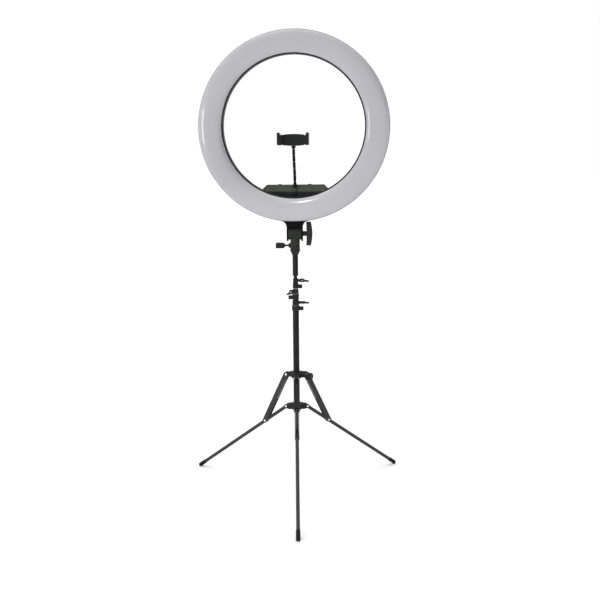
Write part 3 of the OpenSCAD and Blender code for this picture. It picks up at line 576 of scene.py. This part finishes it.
def build_back_screws():
    """Cross-slotted heads on the housing's back, each over its CAD screw."""
    radius, height, sunk = 2.9, 1.7, 0.2
    first_turn, more_turn = 20, 37
    solids = []
    for low, high in clusters("back_screws"):
        centre = RING.inverted() @ ((low + high) / 2)
        place = Matrix.Translation((centre.x, centre.y, sunk)) @ rotation(180, "X")
        place = place @ rotation(first_turn + more_turn * len(solids), "Z")
        solids += [placed(solid, place) for solid in pan_head(radius, height)]
    piece("back_screw_heads", solids, RING, "screw_steel", "lamp_head", 30, 0.15)


def standing(y):
    """Stands a flat outline upright at a distance along the lamp's Y, raised towards the back."""
    return Matrix(((1, 0, 0, 0), (0, 0, 1, y), (0, 1, 0, 0), (0, 0, 0, 1)))


def knob_place(name):
    """A control knob's centre across and up, and its face, in the lamp's frame."""
    low, high = frame_box(name, HEAD)
    return (low.x + high.x) / 2, (low.z + high.z) / 2, high.y


def build_cover_marks():
    """Raised pointer lines on the two knobs, and raised ticks round them on the cover."""
    line_from, line_to, line_half, line_sink, line_rise = 2.6, 8.6, 0.55, 0.5, 0.02
    for name in KNOBS:
        x, z, face = knob_place(name)
        outline = arc(x, z + line_to, line_half, 0, 180, 6) + arc(x, z + line_from, line_half, 180, 360, 6)
        line = placed(prism(outline, -line_sink, 0.0), standing(face + line_rise))
        piece(f"{name}_pointer", [line], HEAD, "marking", name, 40, 0.1)
    cover = frame_box("box_cover", HEAD)[1].y
    radius, half, sink, rise, count, first_turn, turn_step = 14.2, 0.3, 0.2, 0.14, 11, -150, 30
    ticks = []
    for name in KNOBS:
        x, z, _ = knob_place(name)
        for i in range(count):
            turn = math.radians(first_turn + turn_step * i)
            reach = 2.6 if i % 5 == 0 else 1.5
            tick = prism([(-half, 0), (half, 0), (half, reach), (-half, reach)], -sink, rise)
            place = Matrix.Translation((x + radius * math.sin(turn), cover, z + radius * math.cos(turn)))
            ticks.append(placed(tick, place @ Matrix.Rotation(turn, 4, "Y") @ standing(0)))
    piece("cover_ticks", ticks, HEAD, "marking", "lamp_head", 40)


def build_collar_details():
    """A bright seam ring in each collar's groove, and a pinch screw's head on its lug."""
    collars = (("lower", "base", 0), ("middle", "mast_middle", 180), ("upper", "mast_upper", 0))
    top_chamfer, groove_depth, groove_height = 1.2, 0.9, 1.6
    lug_height, screw_in, screw_out, screw_up = 12, 4.5, 6.3, 5.5
    for name, body, turn in collars:
        points = frame_points(f"collar_{name}", COLUMN)
        low, high = min(p.z for p in points), max(p.z for p in points)
        sleeve = max(p.xy.length for p in points if p.z > high - 0.05) + top_chamfer
        seam = min(p.z for p in points if abs(p.xy.length - sleeve) < 0.05) - groove_height
        outer = sleeve - groove_depth
        profile = [(outer - 0.3, seam - 0.1), (outer + 0.25, seam + 0.1),
                   (outer + 0.25, seam + 0.9), (outer - 0.3, seam + 1.1)]
        piece(f"seam_ring_{name}", [lathe(profile, 64)], COLUMN, "zinc_bolt", body, 40)
        lug = max(p.x * math.cos(math.radians(turn)) for p in points if p.z < low + lug_height)
        place = COLUMN @ rotation(turn, "Z")
        place = place @ Matrix.Translation((lug - screw_in, -screw_out, low + screw_up)) @ rotation(90, "X")
        head = lathe([(1.3, 0.06), (2.3, 0.06), (2.3, -0.6), (AXIS, -0.6), (AXIS, -0.5), (1.3, -0.5)], 28)
        piece(f"pinch_screw_{name}", [head], place, "zinc_bolt", body, 30, 0.12)


# ---------------------------------------------------------------- CAD pieces with rounded edges

ROUNDED = {
    0.9: ("tilt_bracket", "holder_body", "holder_jaw", "swivel_socket"),
    0.8: ("control_box", "box_cover", "tilt_knob", "slider_knob"),
    0.5: ("socket_screw", "wing_upper", "wing_middle", "wing_lower", "brightness_knob", "colour_knob",
          "slider", "leg_hub", "hub_plug", "power_button", "mode_button", "dc_inlet"),
    0.35: ("collar_upper", "collar_middle", "collar_lower", "spigot", "fixed_pad", "jaw_pad", "tilt_nut",
           "tilt_bolt", "neck_ferrule", "holder_socket", "strut_front", "strut_right", "strut_left",
           "tube_bottom", "tube_middle", "tube_upper", "tube_top"),
}


def soften_cad():
    for width, names in ROUNDED.items():
        for name in names:
            round_edges(NODES[name], width, clean=True)


build_housing()
build_louvres()
build_diffuser()
build_neck()
build_feet()
build_back_screws()
build_cover_marks()
build_collar_details()
soften_cad()


# ---------------------------------------------------------------- stage, light and camera

def build_floor():
    bm = bmesh.new()
    bmesh.ops.create_grid(bm, x_segments=1, y_segments=1, size=30)
    mesh = bpy.data.meshes.new("floor")
    bm.to_mesh(mesh)
    bm.free()
    floor = bpy.data.objects.new("floor", mesh)
    bpy.context.scene.collection.objects.link(floor)
    mat, nodes, links, bsdf = new_material("pale_floor")
    links.new(ramp(nodes, links, noise(nodes, links, 2, 3), (0.93, 0.93, 0.93), (0.95, 0.95, 0.95)),
              bsdf.inputs["Base Color"])
    bsdf.inputs["Roughness"].default_value = 0.9
    floor.data.materials.append(mat)


def add_light(name, kind, place, target, power):
    """A light at a place that points at a target. It gives back the light's settings."""
    data = bpy.data.lights.new(name, kind)
    data.energy = power
    light = bpy.data.objects.new(name, data)
    light.location = place
    light.rotation_euler = (Vector(target) - Vector(place)).to_track_quat("-Z", "Y").to_euler()
    bpy.context.scene.collection.objects.link(light)
    return data


def build_world():
    """A white studio: bright behind, overhead and at the horizon, darker in front towards the lower right."""
    world = bpy.data.worlds.new("studio")
    world.use_nodes = True
    nodes, links = world.node_tree.nodes, world.node_tree.links
    coords = nodes.new("ShaderNodeTexCoord")

    def along(direction, low, high, start, end):
        """A strength that goes smoothly from low to high with the cosine from a direction."""
        dot = nodes.new("ShaderNodeVectorMath")
        dot.operation = "DOT_PRODUCT"
        dot.inputs[1].default_value = Vector(direction).normalized()
        links.new(coords.outputs["Generated"], dot.inputs[0])
        span = map_range(nodes, links, dot.outputs["Value"], start, end, low, high)
        span.interpolation_type = "SMOOTHSTEP"
        return span.outputs["Result"]

    def joined(operation, first, second):
        node = nodes.new("ShaderNodeMath")
        node.operation = operation
        links.new(first, node.inputs[0])
        links.new(second, node.inputs[1])
        return node.outputs["Value"]

    front = along((-0.75, -0.35, 0.56), 0.0, 1.1, -0.35, 0.95)
    behind = along((0, 1, 0), 0.0, 1.0, -0.05, 0.35)
    zenith = along((0, 0, 1), 0.0, 0.9, 0.6, 0.95)
    horizon = along((0, 0, 1), 0.95, 0.0, 0.12, 0.24)
    brightest = joined("MAXIMUM", joined("MAXIMUM", front, behind), horizon)
    links.new(joined("ADD", brightest, zenith), nodes["Background"].inputs["Strength"])
    nodes["Background"].inputs["Color"].default_value = (1, 1, 1, 1)
    bpy.context.scene.world = world


def build_light():
    build_world()
    window = add_light("window_left", "AREA", place=(-2.5, -2.1, 1.15), target=(0, 0, 1.04), power=11)
    window.shape = "RECTANGLE"
    window.size, window.size_y = 0.75, 0.8
    streak = add_light("streak_spot", "SPOT", place=(-0.72, -2.5, 2.6), target=(0, 0, 0.84), power=70)
    streak.shadow_soft_size = 0.085
    streak.spot_size = math.radians(6)
    streak.spot_blend = 0.6


def build_camera():
    """The photograph's viewpoint: 2.4 m before the mast, a little under the ring's centre."""
    distance, height = 2.4, 0.9636
    pitch, yaw, roll = math.radians(3.211), math.radians(0.349), math.radians(-0.581)
    aim = Vector((math.sin(yaw) * math.cos(pitch), math.cos(yaw) * math.cos(pitch), -math.sin(pitch)))
    side = Vector((math.cos(yaw), -math.sin(yaw), 0))
    up = side.cross(aim)
    right = side * math.cos(roll) + up * math.sin(roll)
    top = up * math.cos(roll) - side * math.sin(roll)
    data = bpy.data.cameras.new("camera")
    data.sensor_width = 36
    data.lens = 50.79
    data.shift_x = 0.0003
    data.shift_y = -0.16583
    camera = bpy.data.objects.new("camera", data)
    camera.matrix_world = Matrix((
        (right.x, top.x, -aim.x, 0),
        (right.y, top.y, -aim.y, column_centre().y * MM - distance),
        (right.z, top.z, -aim.z, height),
        (0, 0, 0, 1),
    ))
    bpy.context.scene.collection.objects.link(camera)
    bpy.context.scene.camera = camera


bpy.context.scene.view_settings.view_transform = "Standard"
build_floor()
build_light()
build_camera()
